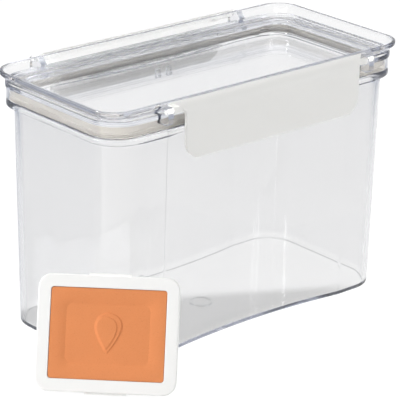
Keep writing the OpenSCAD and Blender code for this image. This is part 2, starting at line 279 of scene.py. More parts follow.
def loft(rows, tub=None):
    """Rounded rectangles one above another. A row is half length, half width, corner radius, height and,
    for a tub, the share of the bow that pulls the long sides inwards there."""
    rows = np.asarray(rows, float)
    half, radius, height = rows[:, None, 0:2], rows[:, None, 2:3], rows[:, 3]
    flat = SIGNS * (half - radius) + radius * TURNS
    if tub is not None:
        pull = bow_depth(flat[..., 0], tub) * rows[:, None, 4] * (np.abs(SIGNS[:, 1]) == 1)
        inside = np.abs(flat[..., 0]) < tub.bow_length / 2 + tub.wall
        flat[..., 1] -= np.sign(flat[..., 1]) * np.where(inside, pull, 0)
    up = np.broadcast_to(height[:, None, None], flat.shape[:2] + (1,))
    return np.concatenate([flat, up], 2)


def arc(centre, radius, start, stop, steps=EDGE_STEPS):
    """Points of a circle's arc, from one angle to another in degrees."""
    t = np.radians(np.linspace(start, stop, steps + 1))
    return np.stack([centre[0] + radius * np.cos(t), centre[1] + radius * np.sin(t)], 1)


def lattice(rows, cols, closed_rows=False):
    """Indexes and quads of a grid whose columns run round a loop, and whose rows may close into a ring."""
    index = np.arange(rows * cols).reshape(rows, cols)
    low = index if closed_rows else index[:-1]
    high = np.roll(index, -1, 0) if closed_rows else index[1:]
    return index, np.stack([low, np.roll(low, -1, 1), np.roll(high, -1, 1), high], -1).reshape(-1, 4)


def skin(grid, closed_rows=False, capped=False):
    """A shell of a lattice's quads. Each end row may be capped with one flat face."""
    index, quads = lattice(*grid.shape[:2], closed_rows)
    return outward(grid.reshape(-1, 3), [quads] + ([index[:1, ::-1], index[-1:]] if capped else []))


def outward(points, tables):
    """A shell of points and tables of faces, each with one number of corners. All faces are turned round where
    the volume that they enclose, a sum of a dot (b cross c) over fans of triangles, comes out negative."""
    fans = [np.stack(np.broadcast_arrays(t[:, :1], t[:, 1:-1], t[:, 2:]), -1).reshape(-1, 3) for t in tables]
    a, b, c = points[np.concatenate(fans)].transpose(1, 0, 2)
    volume = np.einsum("ij,ij->", a, np.cross(b, c))
    return points, tables if volume > 0 else [t[:, ::-1] for t in tables]


def prism(section, start, stop):
    """A flat section of (y, z) points carried straight along X."""
    section = np.asarray(section, float)
    ends = np.array([start, stop])[:, None, None]
    along = np.broadcast_to(ends, (2, len(section), 1))
    return skin(np.concatenate([along, np.broadcast_to(section, (2,) + section.shape)], 2), capped=True)


def spindle(rows, y, z, steps=32):
    """A turned shape about a line along X. A row is the place along the line and the radius there."""
    rows = np.asarray(rows, float)
    t = np.linspace(0, 2 * np.pi, steps, endpoint=False)
    along, radius = np.broadcast_to(rows[:, 0, None], (len(rows), steps)), rows[:, 1, None]
    return skin(np.stack([along, y + radius * np.cos(t), z + radius * np.sin(t)], 2), capped=True)


def moved(shell, matrix):
    """A shell carried by a 4x4 matrix that turns and moves it."""
    m = np.array(matrix)
    return shell[0] @ m[:3, :3].T + m[:3, 3], shell[1]


def mesh_of(name, shells):
    """One mesh of several closed shells, smooth but for edges that turn by more than the sharp angle."""
    starts = np.cumsum([0] + [len(points) for points, _ in shells])
    points = np.concatenate([points for points, _ in shells])
    tables = [table + start for (_, part), start in zip(shells, starts) for table in part]
    faces = [face for table in tables for face in table.tolist()]
    mesh = bpy.data.meshes.new(name)
    mesh.from_pydata(points.tolist(), [], faces)
    mesh.validate()
    mesh.shade_smooth()
    mesh.set_sharp_from_angle(angle=SHARP_ANGLE)
    return mesh


def carve(target, shells, operation):
    """Joins shells to an object's mesh, or cuts them out of it, and keeps the result as its mesh."""
    tool = bpy.data.objects.new("tool", mesh_of("tool", shells))
    bpy.context.scene.collection.objects.link(tool)
    step = target.modifiers.new("step", "BOOLEAN")
    step.operation, step.object, step.solver = operation, tool, "EXACT"
    bpy.context.view_layer.update()
    made = bpy.data.meshes.new_from_object(target.evaluated_get(bpy.context.evaluated_depsgraph_get()))
    target.modifiers.remove(step)
    target.data = made
    made.shade_smooth()
    made.set_sharp_from_angle(angle=SHARP_ANGLE)
    bpy.data.objects.remove(tool)


def piece(name, shells, material, body, node):
    """A piece of a material, which stands for a node whose imported part it hides, and rides on its body."""
    obj = bpy.data.objects.new(name, mesh_of(name, shells))
    bpy.context.scene.collection.objects.link(obj)
    obj.data.materials.append(material)
    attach(obj, body)
    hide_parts(node)
    return obj


def even_normals(obj):
    """Lets large faces set the normals, so that flat walls stay flat next to their rounded edges."""
    step = obj.modifiers.new("normals", "WEIGHTED_NORMAL")
    step.keep_sharp = True
    step.weight = 80


# Shading


class Term:
    """A socket that takes part in Python arithmetic: each operator adds the Math node that it needs."""

    def __init__(self, graph, socket):
        self.graph, self.socket = graph, socket

    def math(self, operation, first, second):
        return self.graph.node("ShaderNodeMath", {"operation": operation}, {0: first, 1: second})

    def __abs__(self):
        return self.math("ABSOLUTE", self, 0.0)

    def __gt__(self, other):
        return self.math("GREATER_THAN", self, other)

    def __add__(self, other):
        return self.math("ADD", self, other)

    def __radd__(self, other):
        return self.math("ADD", other, self)

    def __sub__(self, other):
        return self.math("SUBTRACT", self, other)

    def __rsub__(self, other):
        return self.math("SUBTRACT", other, self)

    def __mul__(self, other):
        return self.math("MULTIPLY", self, other)

    def __rmul__(self, other):
        return self.math("MULTIPLY", other, self)


class Graph:
    """The nodes of one material or of the world."""

    def __init__(self, owner):
        owner.use_nodes = True
        self.tree = owner.node_tree
        self.tree.nodes.clear()

    def node(self, kind, settings=None, sockets=None, out=0):
        """Adds a node, sets it, then fills its sockets with numbers, colours or links."""
        made = self.tree.nodes.new(kind)
        for key, value in (settings or {}).items():
            if key == "stops":
                ramp = made.color_ramp.elements
                while len(ramp) < len(value):
                    ramp.new(0.5)
                for stop, (place, colour) in zip(ramp, value):
                    stop.position, stop.color = place, colour
            else:
                setattr(made, key, value)
        for key, value in (sockets or {}).items():
            if isinstance(value, Term):
                self.tree.links.new(value.socket, made.inputs[key])
            else:
                made.inputs[key].default_value = value
        return Term(self, made.outputs[out]) if made.outputs else None

    def noise(self, place, scale, detail=2.0):
        """Soft noise from 0 to 1."""
        return self.node("ShaderNodeTexNoise", {}, {"Vector": place, "Scale": scale, "Detail": detail})

    def blend(self, amount, low, high):
        """A colour between two others."""
        return self.node("ShaderNodeMix", {"data_type": "RGBA"}, {0: amount, 6: low, 7: high}, out=2)

    def scaled(self, colour, factor):
        """A colour times a number."""
        return self.node("ShaderNodeVectorMath", {"operation": "SCALE"}, {0: colour, "Scale": factor})

    def smooth(self, value, start, stop, low=0.0, high=1.0):
        """Low up to the start, high from the stop on, and a smooth step between them."""
        sockets = {0: value, 1: start, 2: stop, 3: low, 4: high}
        return self.node("ShaderNodeMapRange", {"interpolation_type": "SMOOTHSTEP"}, sockets)

    def axes(self, place):
        """The three coordinates of a place."""
        return [self.node("ShaderNodeSeparateXYZ", {}, {0: place}, out=k) for k in range(3)]

    def place(self):
        """Places in the object's own coordinates."""
        return self.node("ShaderNodeTexCoord", out="Object")

    def ray(self, name):
        """What Light Path says of a ray."""
        return self.node("ShaderNodeLightPath", out=name)

    def dress(self, sockets, **ends):
        """Adds the Principled surface with its sockets, and the output."""
        surface = self.node("ShaderNodeBsdfPrincipled", {}, sockets)
        self.node("ShaderNodeOutputMaterial", {}, {"Surface": surface, **ends})


def rgba(colour, factor=1.0):
    """A colour times a number, with alpha 1."""
    return tuple(min(1.0, c * factor) for c in colour) + (1.0,)


def ranged(value, low, high):
    """A 0 to 1 value stretched to run from low to high."""
    return value * (high - low) + low


def clear_plastic(g, tub, density, clarity):
    """Polished clear plastic: a faint tint that drifts and fine haze on the surface, with painted shade that
    darkens the tub's walls, and inside it an absorption that leaves thin walls clear and turns long ways
    blue-grey."""
    place = g.place()
    haze = g.noise(place, 260.0)
    drift = g.noise(place, 14.0)
    height = g.node("ShaderNodeSeparateXYZ", {}, {0: place}, out=2)
    # Painted shade: the mask is 1 up the tub's walls, between the floor and the flange, where the greyer wall
    # colour is blended in
    low, high = (tub.floor + 0.5 * MM, tub.floor + 5 * MM), (CAD.tub_top - 7 * MM, CAD.tub_top - 3 * MM)
    walls = g.smooth(height, *low) * g.smooth(height, *high, 1.0, 0.0)
    wall_shaded_tints = [g.blend(walls, rgba(tub.tint, f), rgba(tub.wall_tint, f)) for f in (0.985, 1.01)]
    depth = g.node("ShaderNodeVolumeAbsorption", {}, {"Color": rgba(tub.depth_tint), "Density": density})
    g.dress({
        "Base Color": g.blend(drift, *wall_shaded_tints),
        "Roughness": ranged(haze, 0.0, 0.02),
        "IOR": 1.54,
        "Transmission Weight": clarity,
    }, Volume=depth)


def satin_plastic(g, colour, gloss):
    """Moulded satin plastic: a fine even texture, slightly uneven gloss and a hint of shade variation."""
    place = g.place()
    grain = g.noise(place, 3200.0, 3.0)
    patch = g.noise(place, 45.0)
    g.dress({
        "Base Color": g.blend(patch, rgba(colour, 0.985), rgba(colour, 1.012)),
        "Roughness": ranged(patch, gloss, gloss + 0.1),
        "Normal": g.node("ShaderNodeBump", {}, {"Strength": 0.12, "Distance": 0.05 * MM, "Height": grain}),
    })


def soft_silicone(g, colour):
    """Soft translucent silicone: satin, cloudy, and partly clear to light."""
    cloud = g.noise(g.place(), 90.0)
    g.dress({
        "Base Color": g.blend(cloud, rgba(colour, 0.95), rgba(colour, 1.05)),
        "Roughness": ranged(cloud, 0.14, 0.22),
        "IOR": 1.42,
        "Transmission Weight": 0.4,
    })


def unglazed_clay(g, colour):
    """Unglazed clay: blotches, pale and dark grains and an open, gritty surface."""
    place = g.place()
    blotch = g.noise(place, 70.0, 4.0)
    grain = g.noise(place, 1400.0, 4.0)
    speck = g.node("ShaderNodeTexVoronoi", {}, {"Vector": place, "Scale": 900.0})
    dots = g.node("ShaderNodeValToRGB", {"stops": [(0.06, WHITE), (0.2, BLACK)]}, {"Fac": speck})
    body = g.blend(blotch, rgba(colour, 0.93), rgba(colour, 1.06))
    gritty = g.blend(grain * 0.25, body, rgba((0.86, 0.42, 0.21)))
    height = grain + dots * -0.4
    g.dress({
        "Base Color": g.blend(dots * 0.35, gritty, rgba(colour, 0.62)),
        "Roughness": ranged(grain, 0.8, 0.95),
        "Normal": g.node("ShaderNodeBump", {}, {"Strength": 0.3, "Distance": 0.12 * MM, "Height": height}),
    })


def finish(name, make, *given):
    """A new material of that name, with the nodes that make gives it."""
    material = bpy.data.materials.new(name)
    make(Graph(material), *given)
    return material


# Pieces


def outline(length, width, radius):
    """A function from an inset and a height to a row: a rounded rectangle moved in by the inset."""
    def row(inset, z):
        return length / 2 - inset, width / 2 - inset, max(radius - inset, LEAST_RADIUS), z, 0.0

    return row


def flange_outline(tub):
    """The outline of the tub's flange, which the lid's skirt and the seal follow."""
    return outline(tub.flange_length, tub.flange_width, tub.flange_radius)


def rounded(row, centre, radius, start, stop, steps=EDGE_STEPS):
    """Rows whose inset and height run round a circle's arc."""
    return [row(*p) for p in arc(centre, radius, start, stop, steps)]


def hinge_line(lid, latch):
    """Where the rear latch's hinge line lies, as y and z. The front one's is its mirror image."""
    return lid.width / 2 + latch.reach - HINGE_IN, CAD.rim_top - HINGE_DOWN


class CAD:
    """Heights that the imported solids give."""

    tub_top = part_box("tub")[1].z
    rim_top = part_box("lid")[1].z
    latch_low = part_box("front_latch")[0].z


class KEEPER_OT_tub(Operator):
    """Build the clear tub: a section of foot, bowed wall, neck, flange, inner wall and filleted floor,
    carried round the rounded, bowed outline"""

    bl_idname = "keeper.tub"
    bl_label = "Tub"

    def execute(self, context):
        t = context.scene.keeper_tub
        flange_z = CAD.tub_top - t.flange
        flange = flange_outline(t)

        def wall(inset, z):
            """A row of the wall: the foot's outline moved in by the inset and out by the wall's lean."""
            move = inset - t.lean * z / flange_z
            return t.length / 2 - move, t.width / 2 - move, t.radius - move, z, 1.0

        inner, well = t.wall + t.fillet, t.floor + t.fillet
        outside = rounded(wall, (t.foot, t.foot), t.foot, 270, 180, 5)
        outside += [wall(0, z) for z in np.linspace(t.foot, flange_z - t.neck, 7)[1:]]
        outside += [wall(-t.neck_out, flange_z)]
        rim = rounded(flange, (t.edge, flange_z + t.edge), t.edge, 270, 180)
        rim += rounded(flange, (t.edge, CAD.tub_top - t.edge), t.edge, 180, 90)
        inside = rounded(wall, (t.wall - t.edge, CAD.tub_top - t.edge), t.edge, 90, 0)
        inside += [wall(t.wall, z) for z in np.linspace(CAD.tub_top - 2 * t.edge, well, 7)]
        inside += rounded(wall, (inner, well), t.fillet, 180, 270, 8)[1:]
        shell = skin(loft(outside + rim + inside, t), capped=True)
        clear = finish("polished_clear", clear_plastic, t, t.depth, t.clarity)
        obj = piece("tub_clear", [shell], clear, "tub", "tub")
        carve(obj, [self.gate_ring(t)], "UNION")
        even_normals(obj)
        return {"FINISHED"}

    def gate_ring(self, t):
        """Low ring on the floor: a small square section carried round a circle."""
        place, wall, rise = (-4.5 * MM, -6 * MM), 0.8 * MM, 0.4 * MM
        turn_round = np.linspace(0, 2 * np.pi, 48, endpoint=False)
        radius = np.array([t.gate / 2 - wall, t.gate / 2, t.gate / 2, t.gate / 2 - wall])[:, None]
        z = np.array([t.floor - rise, t.floor - rise, t.floor + rise, t.floor + rise])[:, None]
        x, y = place[0] + radius * np.cos(turn_round), place[1] + radius * np.sin(turn_round)
        return skin(np.stack([x, y, np.broadcast_to(z, x.shape)], 2), closed_rows=True)


class KEEPER_OT_lid(Operator):
    """Build the clear lid: a section of recess, ledge, flared rim, skirt, seal channel and plug, carried
    round outlines that pass from the plug's to the rim's and the flange's, then the ears and clips"""

    bl_idname = "keeper.lid"
    bl_label = "Lid"

    def execute(self, context):
        lid, t, latch = context.scene.keeper_lid, context.scene.keeper_tub, context.scene.keeper_latch
        top = CAD.rim_top
        ledge_top = top - lid.rise
        ledge_low = ledge_top - lid.ledge
        panel_top = top - lid.recess
        panel_low = panel_top - lid.panel
        e = lid.edge
        plug = outline(lid.plug_length, lid.plug_width, lid.plug_radius)
        rim = outline(lid.length, lid.width, lid.radius)
        skirt = flange_outline(t)
        well, turn_in = 2.2 * MM, 3.2 * MM
        wall = lid.plug_wall
        rows = rounded(plug, (wall + well, panel_top + well), well, 270, 180, 8)
        rows += rounded(plug, (wall - 2 * e, ledge_top - 2 * e), 2 * e, 0, 90, 5)
        rows += [rim(lid.flare_foot + e, ledge_top), rim(lid.flare_foot - 0.3 * e, ledge_top + 0.4 * e)]
        rows += [rim(lid.lip + 0.2 * e, top - 2 * e)]
        rows += rounded(rim, (lid.lip - 0.6 * e, top - e), e, 20, 90, 3)
        rows += rounded(rim, (e, top - e), e, 90, 180)
        rows += [rim(0, top - lid.lip_height + e), rim(0.6 * e, top - lid.lip_height)]
        rows += [rim(lid.flare_foot - lid.flare - 0.6 * e, ledge_top + 0.7 * e)]
        rows += [rim(lid.flare_foot - lid.flare - 1.2 * e, ledge_top)]
        out, skirt_in, skirt_gap = -0.4 * MM, 0.2 * MM, 0.4 * MM
        rib, rib_up, channel_play = 1.0 * MM, 0.3 * MM, 0.2 * MM
        rows += rounded(skirt, (out + e, ledge_top - e), e, 90, 180)
        rows += rounded(skirt, (out + e, ledge_low + e), e, 180, 270)[:-1]
        rows += [skirt(skirt_in, ledge_low)]
        low, r = CAD.tub_top + skirt_gap, lid.skirt / 2
        rows += rounded(skirt, (skirt_in + r, low + r), r, 180, 360, 6)
        rows += [skirt(skirt_in + lid.skirt, ledge_low)]
        rib_in = skirt_in + lid.skirt + lid.seal_width + channel_play
        rows += [skirt(rib_in, ledge_low)]
        rows += rounded(skirt, (rib_in + rib / 2, low + rib_up + rib / 2), rib / 2, 180, 360, 6)
        rows += [skirt(rib_in + rib, ledge_low)]
        rows += [plug(-e, ledge_low), plug(0, ledge_low - e)]
        rows += rounded(plug, (turn_in, panel_low + turn_in), turn_in, 180, 270, 8)
        shell = skin(loft(rows), capped=True)
        clear = finish("edge_tinted", clear_plastic, t, lid.depth, lid.clarity)
        obj = piece("lid_clear", [shell], clear, "lid", "lid")
        carve(obj, self.ears(lid, latch, ledge_low) + self.clips(panel_low), "UNION")
        carve(obj, self.bores(lid, latch), "DIFFERENCE")
        even_normals(obj)
        return {"FINISHED"}

    def ears(self, lid, latch, ledge_low):
        """Side view of an ear, rooted in the rim, ledge and skirt, carried along X at each latch end."""
        nose, foot, shelf = 2.2 * MM, ledge_low - 1.5 * MM, ledge_low + 1.3 * MM
        out, pivot = hinge_line(lid, latch)
        half = lid.width / 2
        root, flare, tip, lap = half - 1.5 * MM, half - 4.7 * MM, half - 0.8 * MM, 0.3 * MM
        section = np.concatenate([
            [(tip, pivot + nose)],
            arc((out, pivot), nose, 90, 0, 8),
            arc((out, foot + nose), nose, 0, -90, 8),
            [(root, foot), (root, shelf), (flare, shelf)],
            [(flare, CAD.rim_top - lid.rise + lap), (tip, CAD.rim_top - lid.lip_height)],
        ])
        near = latch.length / 2 + EAR_PLAY
        far = near + EAR_WIDTH
        return [
            prism(section * (side, 1), *sorted((end * near, end * far)))
            for end in (-1, 1) for side in (-1, 1)
        ]

    def clips(self, panel_low):
        """Side view of a snap hook under the panel, carried along X, in two pairs."""
        reach, thick, nose, deep = 29.1 * MM, 1.8 * MM, 1.1 * MM, 4.6 * MM
        root, low = panel_low + 1.0 * MM, panel_low - deep
        half, off = 1.1 * MM, 3.6 * MM
        section = np.array([
            (reach, root), (reach + thick, root), (reach + thick, low),
            (reach, low), (reach - nose, low + nose), (reach, low + 2 * nose),
        ])
        return [prism(section * (side, 1), x - half, x + half) for x in (-off, off) for side in (-1, 1)]

    def bores(self, lid, latch):
        """Plain cylinders through the ears, a little wider than the pins."""
        out, up = hinge_line(lid, latch)
        past, play = 1 * MM, 0.05 * MM
        near = latch.length / 2
        far = near + EAR_PLAY + EAR_WIDTH + past
        r = latch.pin + play
        return [
            spindle([(end * near, r), (end * far, r)], side * out, up)
            for end in (-1, 1) for side in (-1, 1)
        ]


class KEEPER_OT_seal(Operator):
    """Build the seal: a rounded head with fine grooves and a thinner stem, carried round the flange"""

    bl_idname = "keeper.seal"
    bl_label = "Seal"

    def execute(self, context):
        lid, t = context.scene.keeper_lid, context.scene.keeper_tub
        left, play = 1.5 * MM, 0.1 * MM
        right, middle = left + lid.seal_width, left + lid.seal_width / 2
        low = CAD.tub_top + play
        head = low + lid.seal_height
        high = CAD.rim_top - lid.rise - lid.ledge - play
        r, stem, shoulder = 0.7 * MM, 0.5 * MM, 0.2 * MM
        groove_deep, groove_half, groove_off = 0.55 * MM, 0.25 * MM, 0.42 * MM
        groove = np.array([(0, -groove_half), (groove_deep, 0), (0, groove_half)])
        level = low + lid.seal_height / 2
        grooves = np.concatenate([groove + (0, level + side * groove_off) for side in (-1, 1)])
        section = np.concatenate([
            arc((right - r, low + r), r, -90, 0),
            grooves * (-1, 1) + (right, 0),
            arc((right - r, head - r), r, 0, 90),
            [(middle + stem, head + shoulder), (middle + stem, high)],
            [(middle - stem, high), (middle - stem, head + shoulder)],
            arc((left + r, head - r), r, 90, 180),
            grooves[::-1] + (left, 0),
            arc((left + r, low + r), r, 180, 270),
        ])
        flange = flange_outline(t)
        shell = skin(loft([flange(*p) for p in section]), closed_rows=True)
        silicone = finish("silicone", soft_silicone, lid.seal_colour)
        obj = piece("lid_seal_ring", [shell], silicone, "lid", "lid_seal")
        even_normals(obj)
        return {"FINISHED"}


class KEEPER_OT_latches(Operator):
    """Build both flip latches: a bent shell whose length follows its section, with the hook, webs and hinge
    pins behind it; the front one is the rear one turned half round"""

    bl_idname = "keeper.latches"
    bl_label = "Latches"

    def execute(self, context):
        latch, lid, tub = context.scene.keeper_latch, context.scene.keeper_lid, context.scene.keeper_tub
        rear = [self.shell(latch, lid)] + self.works(latch, lid, tub)
        half_turn = Matrix.Rotation(math.pi, 4, "Z")
        colour = finish("satin_white", satin_plastic, latch.colour, latch.gloss)
        for side, shells in (("rear", rear), ("front", [moved(s, half_turn) for s in rear])):
            name = side + "_latch"
            obj = piece(name + "_white", shells, colour, name, name)
            soft = obj.modifiers.new("soft edges", "BEVEL")
            soft.width, soft.segments, soft.limit_method = 0.25 * MM, 2, "ANGLE"
            soft.angle_limit = math.radians(50)
            even_normals(obj)
        return {"FINISHED"}

    def shell(self, latch, lid):
        """Section: top edge, quarter bend and straight flap outside, the same inside, a round tip below.
        Each of its points runs along X to a half length that shrinks along the plan's slanted ends and
        round the bottom corners; the last steps along X draw in towards the section's middle as a round end."""
        bend = latch.reach - latch.gap
        centre = (latch.gap, CAD.rim_top - bend)
        low = CAD.latch_low
        t, tip = latch.thickness, latch.thickness / 2 - 0.05 * MM
        top, chamfer = 0.4 * MM, 0.12 * MM
        flap = np.linspace(centre[1], low + tip, 10)[1:]

        def half_section(deep, way, start, stop):
            """Half of the top edge, the bend, the flap and half of the tip, at a depth into the shell."""
            y, z = latch.reach - deep, CAD.rim_top - deep
            return np.concatenate([
                [(latch.gap, CAD.rim_top - t / 2), (latch.gap, z - way * top)],
                [(latch.gap + chamfer, z - way * chamfer)],
                arc(centre, bend - deep, 88, 0, 14),
                np.column_stack([np.full(len(flap), y), flap]),
                arc((y - way * tip, low + tip), tip, start, stop, 5),
            ])

        outer, inner = half_section(0, 1, -15, -90), half_section(t, -1, 195, 270)
        loop = np.concatenate([outer, inner[-2:0:-1]])
        middle = (loop + np.concatenate([inner, outer[-2:0:-1]])) / 2
        out = np.concatenate([outer, outer[-2:0:-1]])[:, 0] - latch.gap
        plan = latch.length / 2 - out * (latch.length - latch.face) / 2 / bend
        lift = np.clip(latch.corner - (loop[:, 1] - low), 0, latch.corner)
        round_corner = latch.face / 2 - latch.corner + np.sqrt(latch.corner**2 - lift**2)
        half = np.where(lift > 0, np.minimum(plan, round_corner), plan)
        edge, fullness, straight = 0.4 * MM, 0.9, np.linspace(-0.97, 0.97, 41)
        theta = np.radians(np.linspace(0, 90, 5))
        end = 1 - edge * (1 - np.sin(theta)) / half.mean()
        curl = (1 - np.cos(theta)) * edge / (t / 2) * fullness
        along = np.concatenate([-end[::-1], straight, end])
        draw = np.concatenate([curl[::-1], np.zeros(len(straight)), curl])
        flat = loop + draw[:, None, None] * (middle - loop)
        grid = np.stack([along[:, None] * half, flat[..., 0] + lid.width / 2, flat[..., 1]], 2)
        index, quads = lattice(*grid.shape[:2])
        n, tables = len(outer), [quads]
        opposite = np.concatenate([[0], np.arange(len(loop) - 1, n - 1, -1), [n - 1]])
        for row, way in ((0, -1), (-1, 1)):
            near, far = index[row, :n], index[row, opposite]
            strip = np.stack([near[:-1], near[1:], far[1:], far[:-1]], -1)
            tables += [strip[:1, :3][:, ::way], strip[1:-1, ::way], strip[-1:, [0, 1, 3]][:, ::way]]
        return outward(grid.reshape(-1, 3), tables)

    def works(self, latch, lid, tub):
        """Hook, five webs and two stepped pins behind the shell: sections carried along X and turned shapes."""
        rim = lid.width / 2
        root = rim + latch.reach - latch.thickness / 2
        hook_play, pin_short = 0.3 * MM, 0.3 * MM
        hook_top = CAD.tub_top - tub.flange - hook_play
        hook_low = hook_top - latch.hook_height
        tip, lead = rim - latch.hook_bite, 1.0 * MM
        hook = [(root, hook_top), (tip, hook_top), (tip, hook_top - lead)]
        hook += [(tip + lead, hook_low), (root, hook_low)]
        web_in, web_half, web_step = rim + 0.4 * MM, 0.8 * MM, 17 * MM
        web_low, web_high = hook_top - latch.hook_height / 2, hook_top + 5 * MM
        ledge_low = CAD.rim_top - lid.rise - lid.ledge
        web = [(root, web_low), (web_in, web_low), (web_in, web_high), (root, ledge_low)]
        shells = [prism(hook, -latch.hook / 2, latch.hook / 2)]
        shells += [prism(web, x - web_half, x + web_half) for x in np.arange(-2, 3) * web_step]
        half = latch.length / 2
        reach = half + EAR_PLAY + EAR_WIDTH - pin_short
        knuckle, inward, bevel = 1.7 * MM, 12 * MM, 0.2 * MM
        steps = [(half - inward, knuckle), (half, knuckle), (half, latch.pin)]
        steps += [(reach - bevel, latch.pin), (reach, latch.pin - bevel)]
        for end in (-1, 1):
            shells += [spindle([(end * x, r) for x, r in steps], *hinge_line(lid, latch))]
        return shells


def holder_place(h, t):
    """Matrix from the holder's own frame (X across, Y up its front, Z out of its front) to where its bottom
    tab stands on the floor and its back's top edge leans on the tub's corner."""
    gap = 0.3 * MM
    tray = h.height - 2 * h.border + 2 * (TILE_LAP + TILE_PLAY + TRAY_WALL)
    tray_top = (h.height + tray) / 2
    stand_z = h.tab * math.cos(h.lean) + h.thickness * math.sin(h.lean)
    touch_z = stand_z + tray_top * math.cos(h.lean) - h.depth * math.sin(h.lean)
    touch_out = t.radius + t.lean * touch_z / (CAD.tub_top - t.flange) + gap
    stand_out = touch_out + tray_top * math.sin(h.lean) + h.depth * math.cos(h.lean)
    corner = Vector((t.radius - t.length / 2, t.radius - t.width / 2, stand_z))
    return (
        Matrix.Translation(corner) @ Matrix.Rotation(h.yaw, 4, "Z")
        @ Matrix.Translation((h.shift, -stand_out, 0)) @ Matrix.Rotation(math.pi / 2 - h.lean, 4, "X")
        @ Matrix.Translation((0, h.height / 2, 0))
    )


class KEEPER_OT_holder(Operator):
    """Build the tile holder: a section of border, lip and tray carried round the window, and two tabs"""

    bl_idname = "keeper.holder"
    bl_label = "Tile holder"

    def execute(self, context):
        h, t = context.scene.keeper_holder, context.scene.keeper_tub
        window = (h.width - 2 * h.border, h.height - 2 * h.border)
        e, w = 0.8 * MM, 0.35 * MM
        hole_radius, pocket_radius = 1.5 * MM, 2.6 * MM
        grow = 2 * (TILE_LAP + TILE_PLAY)
        back = -h.thickness
        front = outline(h.width, h.height, h.radius)
        hole = outline(*window, hole_radius)
        pocket = outline(window[0] + grow, window[1] + grow, pocket_radius)
        rows = rounded(front, (e, back + e), e, 270, 180)
        rows += rounded(front, (e, -e), e, 180, 90, 5)
        rows += rounded(hole, (-w, -w), w, 90, 0)
        rows += [hole(0, -h.lip), pocket(0, -h.lip), pocket(0, -h.depth)]
        rows += [pocket(-TRAY_WALL, -h.depth), pocket(-TRAY_WALL, back)]
        shells = [skin(loft(rows), closed_rows=True)]
        root, tip = h.height / 2 - 1 * MM, h.height / 2 + h.tab
        tab_top, tab_half = back + 1.6 * MM, 10 * MM
        tab = np.array([(root, back), (tip, back), (tip, tab_top), (root, tab_top)])
        for side in (-1, 1):
            shells += [prism(tab * (side, 1), -tab_half, tab_half)]
        place = holder_place(h, t)
        white = finish("bright_white", satin_plastic, h.colour, h.gloss)
        shells = [moved(s, place) for s in shells]
        obj = piece("tile_frame_white", shells, white, "holder", "tile_frame")
        even_normals(obj)
        back_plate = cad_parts["tile_back"]
        back_plate.data.materials.clear()
        back_plate.data.materials.append(white)
        return {"FINISHED"}


